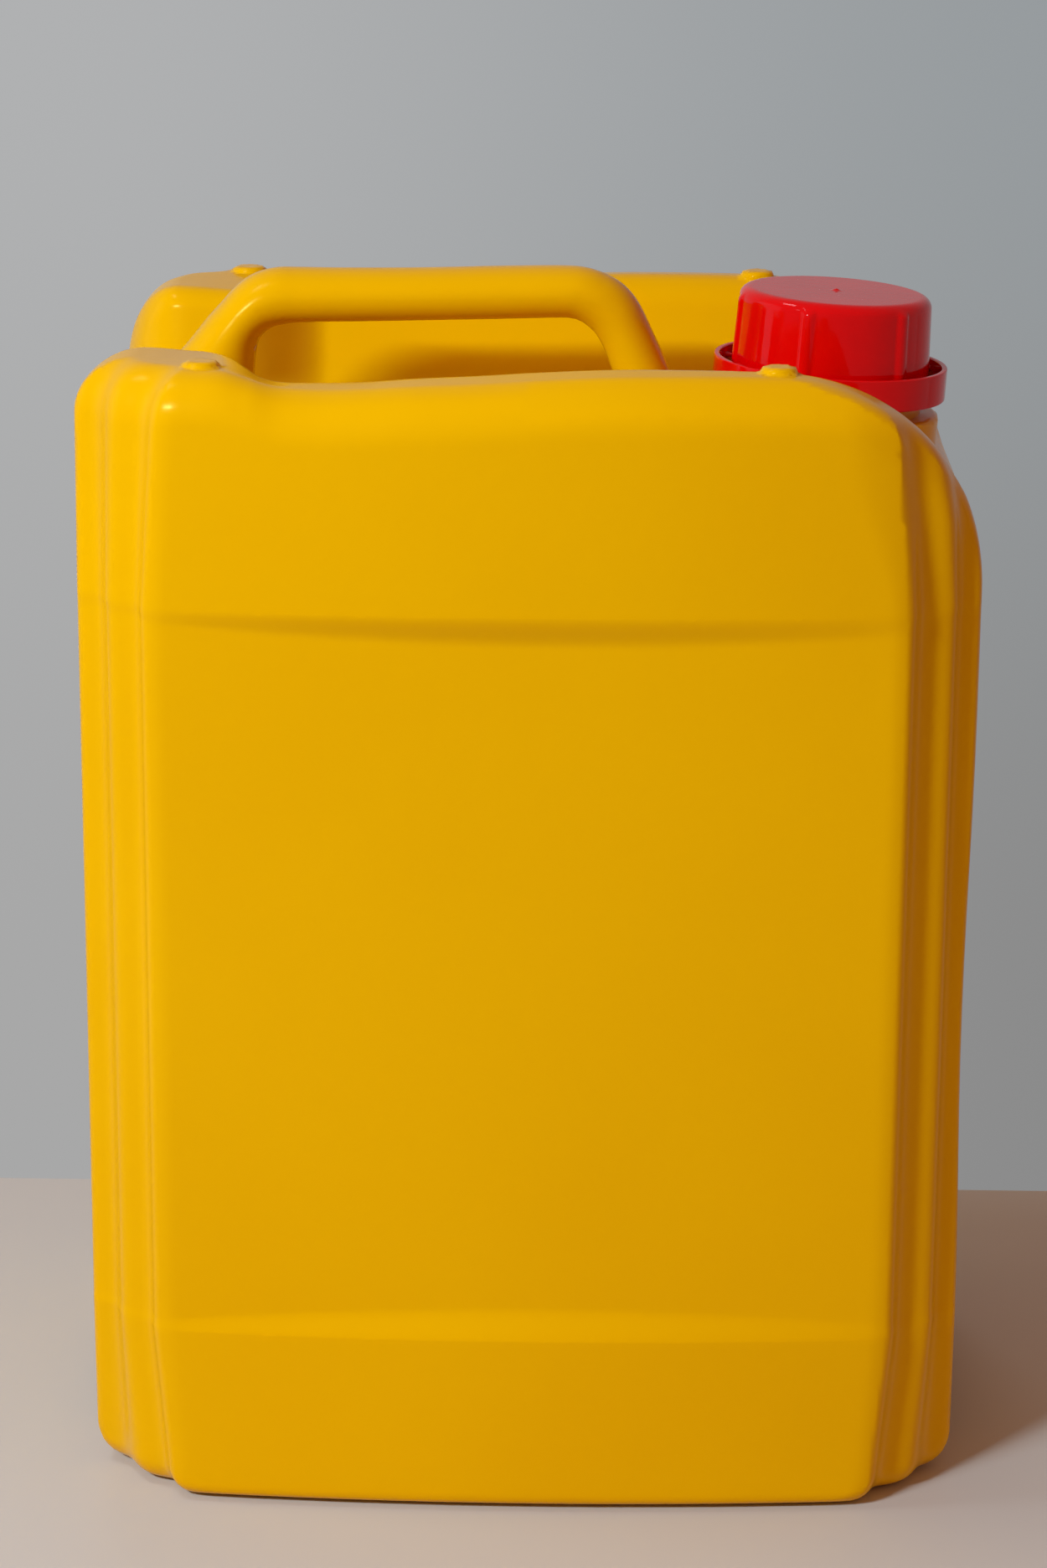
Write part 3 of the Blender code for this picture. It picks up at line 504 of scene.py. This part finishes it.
def make_can():
    """The can's outer and inner skins, bridged round the neck's mouth into one closed shell. Both
    grids are closest where the top, the edges and the ledges curve."""
    xs = stations(
        (-0.1185, -0.0500, 0.0015), (-0.0500, 0.0, 0.0030), (0.0, 0.0840, 0.00205), (0.0840, 0.1185, 0.0015),
    )
    ys = stations((-0.0970, -0.0660, 0.0015), (-0.0660, 0.0660, 0.00206), (0.0660, 0.0970, 0.0015))
    zs = stations(
        (-0.0011, 0.0140, 0.0012), (0.0140, 0.0470, 0.0066), (0.0470, 0.0585, 0.0009),
        (0.0585, 0.2340, 0.0135), (0.2340, 0.2450, 0.0009), (0.2450, 0.2620, 0.0021),
        (0.2620, 0.3190, 0.0015),
    )
    points, quads = skin(can_outside, xs, ys, zs)
    points, normals = settle(can_outside, points)
    quads = open_mouth(points, quads, *OUTER_MOUTH)

    xs = stations((-0.1185, -0.0500, 0.0035), (-0.0500, 0.0500, 0.0050), (0.0500, 0.1185, 0.0035))
    ys = stations((-0.0970, 0.0970, 0.0038))
    zs = stations(
        (-0.0011, 0.0200, 0.0030), (0.0200, 0.0470, 0.0135), (0.0470, 0.0600, 0.0018),
        (0.0600, 0.2340, 0.0290), (0.2340, 0.2450, 0.0018), (0.2450, 0.3190, 0.0032),
    )
    inner, inner_quads = skin(can_inside, xs, ys, zs)
    inner, inner_normals = settle(can_inside, inner)
    inner_quads = open_mouth(inner, inner_quads, *INNER_MOUTH)

    faces = np.vstack([quads, inner_quads + len(points)])
    used, numbers = np.unique(faces, return_inverse=True)
    points = np.vstack([points, inner])[used]
    normals = np.vstack([normals, inner_normals])[used]
    mesh = bpy.data.meshes.new("can_shell")
    mesh.from_pydata(points, [], numbers.reshape(-1, 4).tolist())
    shell = bmesh.new()
    shell.from_mesh(mesh)
    bmesh.ops.bridge_loops(shell, edges=[edge for edge in shell.edges if edge.is_boundary])
    shell.to_mesh(mesh)
    shell.free()
    mesh.shade_smooth()
    mesh.normals_split_custom_set_from_vertices(normals)
    return new_piece("can_shell", mesh, "can", "canister", "canister_body")


def arcs(corners):
    """An outline through corners, each given by radius, rise and how round it is: a sharp corner
    gives one point, and a round one points on the arc that touches both of its sides."""
    spots = np.array([corner[:2] for corner in corners])
    outline = []
    for i, (_, _, radius) in enumerate(corners):
        before = spots[i] - spots[i - 1]
        after = spots[(i + 1) % len(spots)] - spots[i]
        if radius == 0:
            outline.append(spots[i][None, :])
            continue
        before, after = before / np.linalg.norm(before), after / np.linalg.norm(after)
        outline.append(arc(spots[i], before, after, radius, 7))
    return np.vstack(outline)


def closer(outline, step):
    """The closed outline with its long sides cut up evenly, so that no stretch is much longer."""
    sides = []
    for here, there in zip(outline, np.roll(outline, -1, axis=0)):
        parts = max(1, round(np.linalg.norm(there - here) / step))
        sides.append(here + (there - here) * np.arange(parts)[:, None] / parts)
    return np.vstack(sides)


def turned(name, radius, rise, slot, body, *nodes):
    """A closed body about the neck's axis from its tables of radius and rise."""
    rows, columns = radius.shape
    turn = np.linspace(0, 2 * math.pi, columns, endpoint=False)
    points = np.stack([radius * np.cos(turn), radius * np.sin(turn), rise], axis=-1).reshape(-1, 3)
    number = np.arange(rows * columns).reshape(rows, columns)
    below, beside = np.roll(number, -1, axis=0), np.roll(number, -1, axis=1)
    faces = np.stack([number, below, np.roll(below, -1, axis=1), beside], axis=-1).reshape(-1, 4)
    on_axis = radius[:, 0] < 1e-6
    number_of = np.where(on_axis[:, None], number[:, :1], number).reshape(-1)
    faces = number_of[faces]
    same = (faces == np.roll(faces, -1, axis=1))
    whole = faces[~same.any(axis=1)]
    three = faces[same.sum(axis=1) == 1]
    keep = ~same[same.sum(axis=1) == 1]
    three = three[keep].reshape(-1, 3)
    place = Matrix.Translation((NECK_X, 0.0, TROUGH_FLOOR)) @ Matrix.Rotation(NECK_LEAN, 4, "Y")
    used = np.unique(np.concatenate([whole.reshape(-1), three.reshape(-1)]))
    renumber = np.full(rows * columns, -1)
    renumber[used] = np.arange(len(used))
    mesh = bpy.data.meshes.new(name)
    mesh.from_pydata(points[used], [], renumber[whole].tolist() + renumber[three].tolist())
    mesh.transform(place)
    mesh.shade_smooth()
    mesh.set_sharp_from_angle(angle=math.radians(38))
    return new_piece(name, mesh, slot, body, *nodes)


def spun(outline, count):
    """Tables of radius and rise with one row for each point of an outline and one column for each of
    so many directions round the axis, and those directions as angles."""
    turn = np.linspace(0, 2 * math.pi, count, endpoint=False)
    radius, rise = (np.repeat(column[:, None], count, axis=1) for column in outline.T)
    return radius, rise, turn


def helix_ridge(rise, turn, start):
    """How much of a thread's height stands at each rise and direction: a trapezium across the ridge,
    which climbs one pitch a turn and tapers out at both ends."""
    lap = np.round((rise - start) / THREAD_PITCH - turn / (2 * math.pi))
    climbed = lap + turn / (2 * math.pi)
    off = np.abs(rise - start - climbed * THREAD_PITCH)
    across = np.clip((THREAD_ROOT / 2 - off) / ((THREAD_ROOT - THREAD_CREST) / 2), 0.0, 1.0)
    ends = np.clip(np.minimum(climbed, THREAD_TURNS - climbed) / THREAD_FADE, 0.0, 1.0)
    return across * ease(0.0, 1.0, ends)


def make_neck():
    """The neck: lip, thread, bead and throat above the collar, and a sleeve down through its mouth."""
    foot = COLLAR_RISE - NECK_SUNK
    outline = arcs([
        (BORE_RADIUS, SLEEVE_LOW, 0.0003), (SLEEVE_RADIUS, SLEEVE_LOW, 0.0003), (SLEEVE_RADIUS, foot, 0.0),
        (THROAT_RADIUS, foot, 0.0), (THROAT_RADIUS, BEAD_RISE, 0.0004), (BEAD_RADIUS, BEAD_RISE, 0.0004),
        (BEAD_RADIUS, BEAD_RISE + BEAD_FACE, 0.0004), (NECK_RADIUS, BEAD_TOP, 0.0005),
        (NECK_RADIUS, LIP_RISE, 0.0009), (BORE_RADIUS, LIP_RISE, 0.0007),
    ])[::-1]
    radius, rise, turn = spun(closer(outline, 0.00035), 180)
    outer = (radius > NECK_RADIUS - 0.0002) & (radius < NECK_RADIUS + 0.0002) & (rise > BEAD_TOP)
    radius = radius + THREAD_DEPTH * helix_ridge(rise, turn, THREAD_START) * outer
    return turned("neck", radius, rise, "can", "canister")


def make_cap():
    """The screw cap: rounded rim, flat top with a moulding pip, six grip ribs and an inner thread."""
    outline = arcs([
        (0.0, CAP_TOP, 0.0), (CAP_TOP_RADIUS, CAP_TOP, CAP_EDGE), (CAP_FOOT_RADIUS, CAP_BOTTOM, 0.0004),
        (CAP_BORE, CAP_BOTTOM, 0.0004), (CAP_BORE, CAP_ROOF, 0.0006), (0.0, CAP_ROOF, 0.0),
    ])
    outline = closer(outline, 0.0005)
    outline = outline[(outline[:, 0] > 0) | (outline[:, 1] >= CAP_TOP) | (outline[:, 1] <= CAP_ROOF)]
    radius, rise, turn = spun(outline, 360)
    outer = (radius > CAP_BORE + 0.0004) | ((rise > CAP_ROOF + 0.0003) & (radius > 0.015))
    top_rows = np.arange(len(outline)) < np.argmax(outline[:, 1] < CAP_BOTTOM + 0.0005)
    outside = top_rows[:, None] & outer
    wall = CAP_TOP_RADIUS + (CAP_FOOT_RADIUS - CAP_TOP_RADIUS) * (CAP_TOP - rise) / (CAP_TOP - CAP_BOTTOM)
    off = (turn - RIB_TURN + math.pi / 2 + math.pi / RIBS) % (2 * math.pi / RIBS) - math.pi / RIBS
    middle = wall + RIB_PROUD - RIB_RADIUS
    bar = middle * np.cos(off) + np.sqrt(np.maximum(RIB_RADIUS**2 - (middle * np.sin(off)) ** 2, 0.0))
    bar = np.where(np.abs(middle * np.sin(off)) < RIB_RADIUS, bar, 0.0)
    proud = np.maximum(bar - wall, 0.0)
    upper_end = ease(CAP_TOP - 0.0010, CAP_TOP - 0.0034, rise)
    lower_end = ease(CAP_BOTTOM + 0.0012, CAP_BOTTOM + 0.0024, rise)
    radius = radius + proud * (upper_end * lower_end) * outside
    pip = PIP_RISE * np.exp(-(radius / PIP_RADIUS) ** 2) * (rise > CAP_TOP - 0.0001)
    bore = ~outside & (np.abs(radius - CAP_BORE) < 0.0001) & (rise > CAP_BOTTOM + 0.001)
    thread = CAP_THREAD_DEPTH * (helix_ridge(rise, turn, THREAD_START - CAP_THREAD_DROP) * bore)
    return turned("cap_shell", radius - thread, rise + pip, "cap", "cap", "screw_cap")


def make_ring():
    """The tamper ring: a wall, a flange that catches under the bead, and the stubs of torn bridges."""
    outline = arcs([
        (RING_OUTER, RING_TOP, 0.0004), (RING_OUTER, RING_BOTTOM, 0.0005),
        (RING_CATCH, RING_BOTTOM, 0.0003), (RING_CATCH, RING_BOTTOM + RING_FLANGE, 0.0003),
        (RING_INNER, RING_BOTTOM + RING_FLANGE, 0.0004), (RING_INNER, RING_TOP, 0.0004),
    ])
    radius, rise, turn = spun(closer(outline, 0.0005), 576)
    off = (turn % (2 * math.pi / BRIDGES)) - math.pi / BRIDGES
    near = np.clip(1.6 - np.abs(off * RING_INNER) / BRIDGE_HALF, 0.0, 1.0)
    high = ease(0.0007, 0.0003, np.abs(rise - CAP_BOTTOM - BRIDGE_RISE))
    inner = np.abs(radius - RING_INNER) < 0.0001
    radius = radius - BRIDGE_REACH * ease(0.0, 1.0, near) * high * inner
    return turned("ring_shell", radius, rise, "ring", "ring", "tamper_ring")


def make_seal():
    """The foam seal: a disc with softly rounded edges."""
    outline = arcs([
        (0.0, SEAL_HIGH, 0.0), (SEAL_RADIUS, SEAL_HIGH, 0.0004),
        (SEAL_RADIUS, SEAL_LOW, 0.0004), (0.0, SEAL_LOW, 0.0),
    ])
    radius, rise, _ = spun(outline, 96)
    return turned("seal_disc", radius, rise, "seal", "seal", "cap_seal")


# Materials

class Value:
    """A socket that can be reckoned with: its operator adds the Math node that does it."""

    def __init__(self, recipe, socket):
        self.recipe, self.socket = recipe, socket

    def __add__(self, other):
        return self.recipe.node("ShaderNodeMath", {"operation": "ADD"}, {0: self, 1: other})

    __radd__ = __add__


class Recipe:
    """The nodes of a material, or of the world. Its one shader is at hand, and node() adds any other
    node."""

    def __init__(self, owner, shader="Principled BSDF"):
        owner.use_nodes = True
        self.owner = owner
        self.nodes = owner.node_tree.nodes
        self.links = owner.node_tree.links
        self.shader = self.nodes[shader]

    def plug(self, socket, value):
        if isinstance(value, Value):
            self.links.new(value.socket, socket)
        else:
            socket.default_value = value

    def node(self, kind, settings=None, inputs=None, output=0):
        made = self.nodes.new(kind)
        for name, value in (settings or {}).items():
            setattr(made, name, value)
        for name, value in (inputs or {}).items():
            self.plug(made.inputs[name], value)
        return Value(self, made.outputs[output])

    def noise(self, scale, detail=2.0):
        place = self.node("ShaderNodeTexCoord", output="Object")
        return self.node("ShaderNodeTexNoise", None, {"Vector": place, "Scale": scale, "Detail": detail})

    def range(self, value, low, high, start, stop):
        """The value's share between low and high, eased, as a number from start to stop."""
        inputs = {"Value": value, "From Min": low, "From Max": high, "To Min": start, "To Max": stop}
        return self.node("ShaderNodeMapRange", {"interpolation_type": "SMOOTHSTEP"}, inputs)

    def mix(self, share, a, b):
        settings = {"data_type": "RGBA"}
        return self.node("ShaderNodeMix", settings, {0: share, 6: a, 7: b}, output=2)

    def bump(self, height, distance, under=None):
        inputs = {"Height": height, "Distance": distance}
        if under is not None:
            inputs["Normal"] = under
        return self.node("ShaderNodeBump", None, inputs)

    def seen(self):
        """1 or more for what is seen by the camera, in gloss or through a clear body, and 0 for the
        light that a surface gives."""
        camera, glossy, transmitted = (
            self.node("ShaderNodeLightPath", output=f"Is {kind} Ray")
            for kind in ("Camera", "Glossy", "Transmission")
        )
        return camera + glossy + transmitted

    def set(self, **values):
        for name, value in values.items():
            self.plug(self.shader.inputs[name.replace("_", " ")], value)


def shade(red, green, blue):
    """A colour as the screen shows it, 0 to 255, as the linear colour that a shader takes."""
    share = np.array([red, green, blue]) / 255
    linear = np.where(share <= 0.04045, share / 12.92, ((share + 0.055) / 1.055) ** 2.4)
    return (*linear.tolist(), 1.0)


# The air round the room: what camera and gloss see of it, and the colour of the light that it gives
AIR_COLOUR = shade(166, 167, 169)
AIR_LIGHT = (0.400, 0.180, 0.095, 1.0)


def yellow_polyethylene():
    """Blow-moulded polyethylene: semi-gloss, faintly mottled, with the mould's fine orange peel."""
    paint = Recipe(bpy.data.materials.new("yellow_polyethylene"))
    cloud = paint.noise(9.0, 2.0)
    colour = paint.mix(paint.range(cloud, 0.35, 0.65, 0.0, 1.0), shade(226, 174, 0), shade(224, 171, 0))
    rough = paint.range(paint.noise(45.0, 3.0), 0.3, 0.7, 0.16, 0.21)
    peel = paint.bump(paint.noise(120.0, 2.0), 0.00006)
    grain = paint.bump(paint.noise(420.0, 2.0), 0.00002, under=peel)
    paint.set(Base_Color=colour, Roughness=rough, Normal=grain)
    paint.set(Specular_IOR_Level=0.11, Specular_Tint=(1.0, 0.75, 0.2, 1.0))
    return paint.owner


def red_polypropylene():
    """Injection-moulded polypropylene: glossy, with faint handling marks in its gloss."""
    paint = Recipe(bpy.data.materials.new("red_polypropylene"))
    cloud = paint.noise(60.0, 3.0)
    colour = paint.mix(paint.range(cloud, 0.35, 0.65, 0.0, 1.0), shade(212, 0, 2), shade(204, 0, 2))
    rough = paint.range(paint.noise(90.0, 4.0), 0.35, 0.7, 0.06, 0.10)
    paint.set(Base_Color=colour, Roughness=rough, Normal=paint.bump(paint.noise(300.0), 0.00003))
    paint.set(Specular_IOR_Level=0.27, Specular_Tint=(1.0, 0.6, 0.6, 1.0))
    return paint.owner


def white_foam():
    """Pressed polyethylene foam: matt and finely pitted."""
    paint = Recipe(bpy.data.materials.new("white_foam"))
    pits = paint.noise(900.0, 2.0)
    colour = paint.mix(paint.range(pits, 0.4, 0.6, 0.0, 1.0), shade(222, 222, 218), shade(238, 238, 234))
    paint.set(Base_Color=colour, Roughness=0.75, Normal=paint.bump(pits, 0.0001))
    return paint.owner


def pale_floor():
    """A floor that lights the object as one colour and shows to camera and gloss as another. Far from
    the object it fades into the colour of the air, and there it glows a dim brown to the object,
    painted light in place of what a lit floor would give back."""
    paint = Recipe(bpy.data.materials.new("pale_floor"))
    seen = paint.seen()
    place = paint.node("ShaderNodeTexCoord", output="Object")
    away = paint.node("ShaderNodeVectorMath", {"operation": "LENGTH"}, {0: place}, output="Value")
    far = paint.range(away, *FLOOR_FADE, 0.0, 1.0)
    near_colour = paint.mix(seen, shade(214, 200, 188), shade(196, 195, 192))
    paint.set(Base_Color=paint.mix(far, near_colour, shade(0, 0, 0)), Roughness=0.9, Specular_IOR_Level=0.2)
    # Painted light: the far floor glows, the air's grey to camera and gloss and a dim brown to the object.
    glow = paint.mix(far, shade(0, 0, 0), paint.mix(seen, shade(124, 102, 86), AIR_COLOUR))
    paint.set(Emission_Color=glow, Emission_Strength=1.0)
    return paint.owner


def grey_wall():
    """The backdrop, which glows: even and dim to the object, and to camera and gloss a grey with painted
    shade that falls off to the right and downwards."""
    paint = Recipe(bpy.data.materials.new("grey_wall"))
    place = paint.node("ShaderNodeTexCoord", output="Object")
    across = paint.node("ShaderNodeSeparateXYZ", None, {"Vector": place}, output="X")
    up = paint.node("ShaderNodeSeparateXYZ", None, {"Vector": place}, output="Z")
    # Painted shade: the grey darkens to the right and downwards as the light on the wall falls off.
    high = paint.range(up, -0.75, 0.15, 0.0, 1.0)
    left = paint.mix(high, shade(168, 168, 168), shade(176, 177, 178))
    right = paint.mix(high, shade(139, 139, 139), shade(150, 155, 158))
    grey = paint.mix(paint.range(across, -0.50, 0.50, 0.0, 1.0), left, right)
    paint.set(Base_Color=shade(0, 0, 0), Roughness=1.0, Specular_IOR_Level=0.0)
    paint.set(Emission_Color=paint.mix(paint.seen(), shade(128, 122, 116), grey), Emission_Strength=1.0)
    return paint.owner


# Room, lamps and camera

LAMP_COLOUR = (0.88, 1.00, 1.08)
LAMPS_FACE = (0.0, 0.0, 0.15)
FLOOR_END = 0.142
WALL_AT = 2.5
FLOOR_FADE = (0.45, 1.40)
CAMERA_AT = (0.01575, -1.10997, 0.49176)
CAMERA_TURN = (15.97, 0.92, -0.38)
CAMERA_LENS = 95.97


def sheet(name, corners, material):
    """A flat four-cornered sheet of the room."""
    mesh = bpy.data.meshes.new(name)
    mesh.from_pydata(corners, [], [(0, 1, 2, 3)])
    mesh.materials.append(material)
    made = bpy.data.objects.new(name, mesh)
    bpy.context.scene.collection.objects.link(made)


def lamp(name, azimuth, height, far, size, power, gloss=True):
    """An oval lamp that faces the can's middle, from an azimuth (0 in front, below 0 to the left), so
    high over the horizon in degrees and so far away. Its size is its width and its height, and with
    gloss off it leaves no highlight."""
    light = bpy.data.lights.new(name, "AREA")
    light.shape = "ELLIPSE"
    light.size, light.size_y = size
    light.energy = power
    light.color = LAMP_COLOUR
    made = bpy.data.objects.new(name, light)
    bpy.context.scene.collection.objects.link(made)
    turn, rise = math.radians(azimuth), math.radians(height)
    way = np.array([math.sin(turn) * math.cos(rise), -math.cos(turn) * math.cos(rise), math.sin(rise)])
    made.location = far * way + np.array(LAMPS_FACE)
    made.rotation_euler = (math.pi / 2 - rise, 0.0, turn)
    made.visible_camera = False
    made.visible_glossy = gloss


def make_camera():
    """The photograph's view: its focal length, its place, and its pitch, yaw and roll."""
    pitch, yaw, roll = (math.radians(angle) for angle in CAMERA_TURN)
    ahead = np.array([-math.sin(yaw) * math.cos(pitch), math.cos(yaw) * math.cos(pitch), -math.sin(pitch)])
    level = np.array([math.cos(yaw), math.sin(yaw), 0.0])
    down = np.cross(ahead, level)
    right = level * math.cos(roll) + down * math.sin(roll)
    below = -level * math.sin(roll) + down * math.cos(roll)
    camera = bpy.data.cameras.new("camera")
    camera.sensor_fit = "AUTO"
    camera.sensor_width = 36.0
    camera.lens = CAMERA_LENS
    camera.clip_end = 50.0
    made = bpy.data.objects.new("camera", camera)
    bpy.context.scene.collection.objects.link(made)
    turned_to = Matrix((right, -below, -ahead)).transposed().to_4x4()
    turned_to.translation = CAMERA_AT
    made.matrix_world = turned_to
    bpy.context.scene.camera = made


def make_room():
    """A pale floor that ends at the photograph's horizon, a wall far behind it, and the light."""
    sheet("floor", [(-6, -6, 0), (6, -6, 0), (6, FLOOR_END, 0), (-6, FLOOR_END, 0)], pale_floor())
    sheet("wall", [(-6, WALL_AT, -3), (6, WALL_AT, -3), (6, WALL_AT, 5), (-6, WALL_AT, 5)], grey_wall())
    lamp("key", -37, 30.5, 1.3, (0.30, 0.016), 9.9)
    lamp("glint", -34, 33, 1.3, (0.16, 0.16), 2.5)
    lamp("left_high", -80, 62, 1.3, (0.30, 0.30), 2.2)
    lamp("left_soft", -90, 12, 3.0, (2.2, 2.2), 6.0)
    lamp("back_soft", -172, 8, 2.2, (1.2, 1.2), 15.0, gloss=False)
    air = Recipe(bpy.data.worlds.new("room"), "Background")
    air.set(Color=air.mix(air.seen(), AIR_LIGHT, AIR_COLOUR), Strength=1.0)
    bpy.context.scene.world = air.owner


yellow = yellow_polyethylene()
red = red_polypropylene()
foam = white_foam()
for piece, material in (
    (make_can(), yellow), (make_neck(), yellow), (make_cap(), red), (make_ring(), red), (make_seal(), foam),
):
    piece.data.materials.append(material)
for node, material in (
    ("canister_body", yellow), ("screw_cap", red), ("tamper_ring", red), ("cap_seal", foam),
):
    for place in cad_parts[node].material_slots:
        place.material = material

make_camera()
make_room()
bpy.context.scene.view_settings.view_transform = "Standard"
